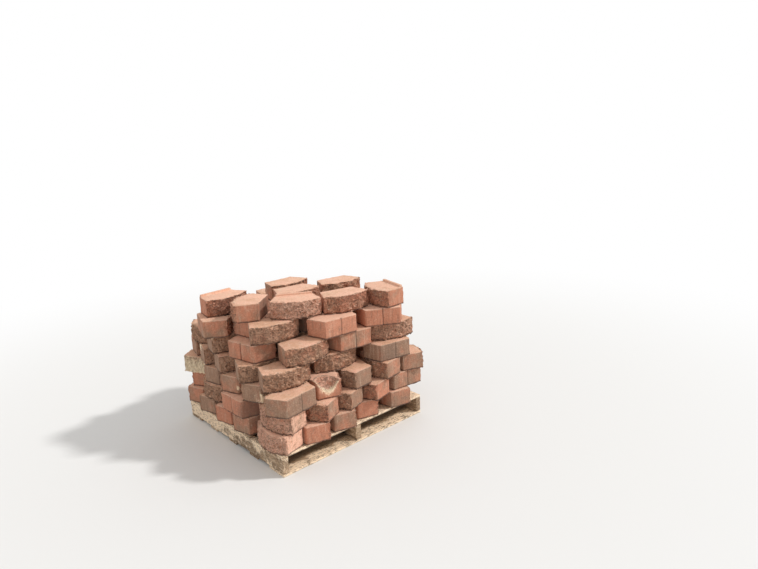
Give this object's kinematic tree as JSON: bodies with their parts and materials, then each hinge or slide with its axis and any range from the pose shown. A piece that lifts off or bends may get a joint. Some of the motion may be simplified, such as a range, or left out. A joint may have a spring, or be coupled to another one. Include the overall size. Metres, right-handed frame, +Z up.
{
  "type": "pallet of retaining wall blocks",
  "caption": "Wooden pallet loaded with loose courses of split-face concrete retaining wall blocks, set at mixed turns, ready to lift by forklift and unload by hand.",
  "frame": {"origin": "centre of the pallet's footprint, on the floor under the middle bottom board", "axes": "+Z up; X along the deck boards; Y along the stringers, with the side that shows the stringer ends towards -Y"},
  "size_m": [1.1442, 1.1654, 0.8442],
  "materials": {
    "block_concrete": "rough",
    "pallet_wood": "weathered"
  },
  "bodies": {
    "root": {"stringer_left": "pallet_wood", "stringer_middle": "pallet_wood", "stringer_right": "pallet_wood", "top_board_1": "pallet_wood", "top_board_2": "pallet_wood", "top_board_3": "pallet_wood", "top_board_4": "pallet_wood", "top_board_5": "pallet_wood", "top_board_6": "pallet_wood", "top_board_7": "pallet_wood", "bottom_board_1": "pallet_wood", "bottom_board_2": "pallet_wood", "bottom_board_3": "pallet_wood", "bottom_board_4": "pallet_wood", "bottom_board_5": "pallet_wood", "block_course_1": "block_concrete", "block_course_2": "block_concrete", "block_course_3": "block_concrete", "block_course_4": "block_concrete", "block_course_5": "block_concrete", "block_course_6": "block_concrete", "block_course_7": "block_concrete", "stack_core": "block_concrete"}
  },
  "joints": []
}
